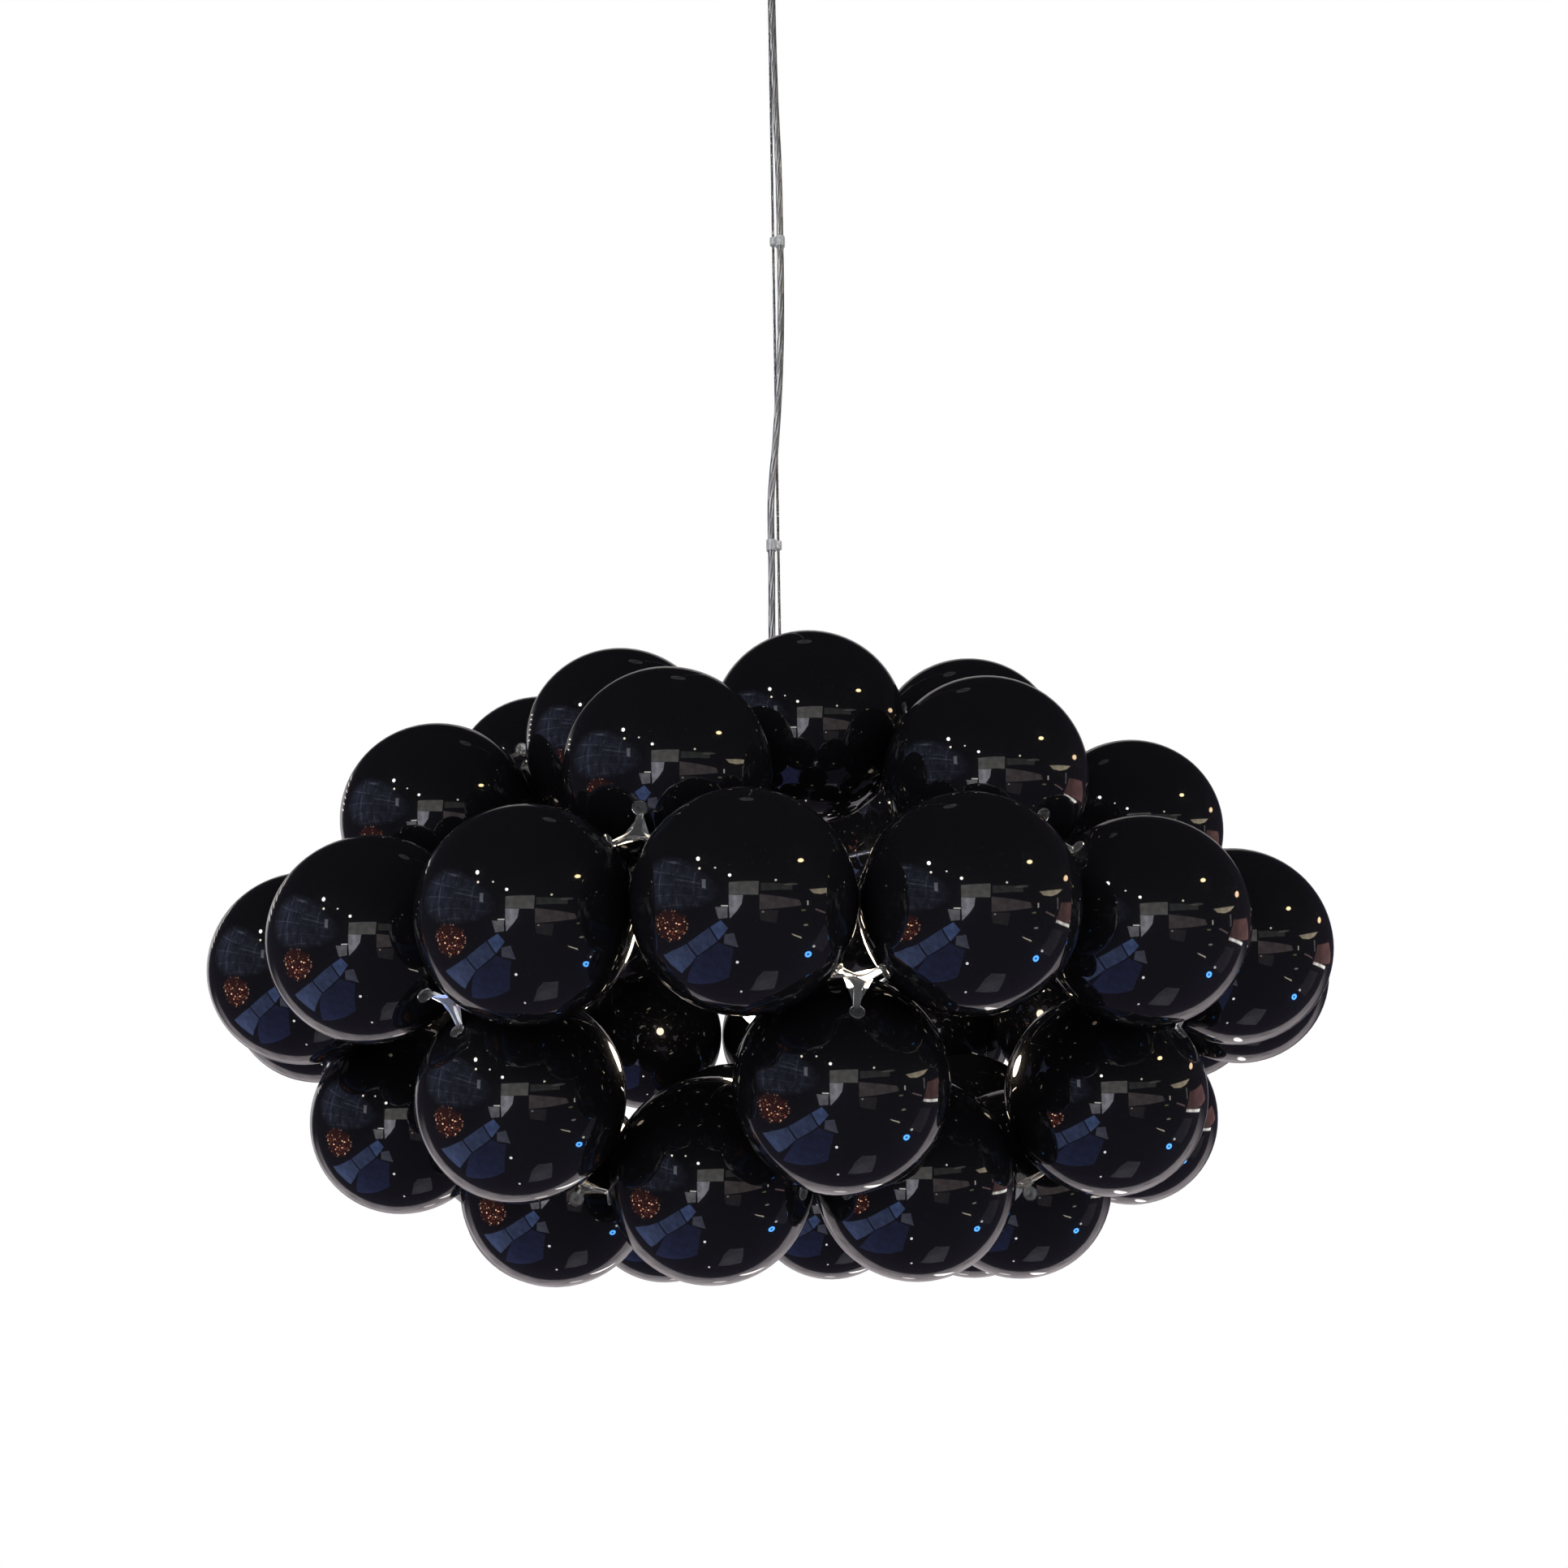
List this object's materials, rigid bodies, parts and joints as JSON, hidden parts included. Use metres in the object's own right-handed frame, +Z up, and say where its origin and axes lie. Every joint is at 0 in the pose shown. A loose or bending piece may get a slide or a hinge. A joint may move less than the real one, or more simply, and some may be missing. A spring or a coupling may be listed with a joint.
{
  "type": "pendant light",
  "caption": "Pendant light: a hollow flattened cluster of glossy black balls joined by clear three-armed clips, hung on a steel wire with a clear power cable beside it.",
  "frame": {"origin": "centre of the ceiling plate's top face, where it lies against the ceiling", "axes": "+Z up into the ceiling, -Y towards the pictured side, +X to that side's right"},
  "size_m": [0.8022, 0.8022, 1.1526],
  "materials": {
    "ball_gloss": "near-black mirror-gloss moulding",
    "clear_plastic": "clear glossy moulding",
    "clear_cable": "clear sheath over twisted silvery strands",
    "steel": "bright drawn steel",
    "white_plastic": "satin white moulding",
    "black_plastic": "satin black moulding",
    "opal_bulb": "opal diffuser, lit warm white"
  },
  "bodies": {
    "ceiling": {"ceiling_plate": "steel", "canopy_cover": "steel", "canopy_screw": "steel", "terminal_block": "white_plastic"},
    "link": {"swing_link": "steel"},
    "pendant": {"suspension_wire": "steel", "power_cable": "clear_cable", "hanger_spider": "steel", "lamp_holder": "black_plastic", "ball_equator_01": "ball_gloss", "ball_equator_02": "ball_gloss", "ball_equator_03": "ball_gloss", "ball_equator_04": "ball_gloss", "ball_equator_05": "ball_gloss", "ball_equator_06": "ball_gloss", "ball_equator_07": "ball_gloss", "ball_equator_08": "ball_gloss", "ball_equator_09": "ball_gloss", "ball_equator_10": "ball_gloss", "ball_equator_11": "ball_gloss", "ball_equator_12": "ball_gloss", "ball_equator_13": "ball_gloss", "ball_equator_14": "ball_gloss", "ball_equator_15": "ball_gloss", "ball_equator_16": "ball_gloss", "ball_upper_01": "ball_gloss", "ball_upper_02": "ball_gloss", "ball_upper_03": "ball_gloss", "ball_upper_04": "ball_gloss", "ball_upper_05": "ball_gloss", "ball_upper_06": "ball_gloss", "ball_upper_07": "ball_gloss", "ball_upper_08": "ball_gloss", "ball_lower_01": "ball_gloss", "ball_lower_02": "ball_gloss", "ball_lower_03": "ball_gloss", "ball_lower_04": "ball_gloss", "ball_lower_05": "ball_gloss", "ball_lower_06": "ball_gloss", "ball_lower_07": "ball_gloss", "ball_lower_08": "ball_gloss", "ball_top_01": "ball_gloss", "ball_top_02": "ball_gloss", "ball_top_03": "ball_gloss", "ball_top_04": "ball_gloss", "ball_top_05": "ball_gloss", "ball_top_06": "ball_gloss", "ball_top_07": "ball_gloss", "ball_top_08": "ball_gloss", "ball_bottom_01": "ball_gloss", "ball_bottom_02": "ball_gloss", "ball_bottom_03": "ball_gloss", "ball_bottom_04": "ball_gloss", "ball_bottom_05": "ball_gloss", "ball_bottom_06": "ball_gloss", "ball_bottom_07": "ball_gloss", "ball_bottom_08": "ball_gloss"},
    "bulb": {"bulb": "opal_bulb"},
    "upper_cord_clip": {"cord_clip_upper": "clear_plastic"},
    "lower_cord_clip": {"cord_clip_lower": "clear_plastic"}
  },
  "joints": [
    {"name": "swing_sideways", "type": "hinge", "parent": "ceiling", "child": "link", "pos_m": [0, 0, -0.012], "axis": [0, 1, 0], "range_deg": [-8, 8]},
    {"name": "swing_to_and_fro", "type": "hinge", "parent": "link", "child": "pendant", "pos_m": [0, 0, -0.033], "axis": [1, 0, 0], "range_deg": [-8, 8]},
    {"name": "bulb_unscrew", "type": "slide", "parent": "pendant", "child": "bulb", "axis": [0, 0, -1], "range_m": [0, 0.035]},
    {"name": "upper_cord_clip_slide", "type": "slide", "parent": "pendant", "child": "upper_cord_clip", "axis": [0, 0, 1], "range_m": [-0.015, 0.015]},
    {"name": "lower_cord_clip_slide", "type": "slide", "parent": "pendant", "child": "lower_cord_clip", "axis": [0, 0, 1], "range_m": [-0.015, 0.015]}
  ]
}
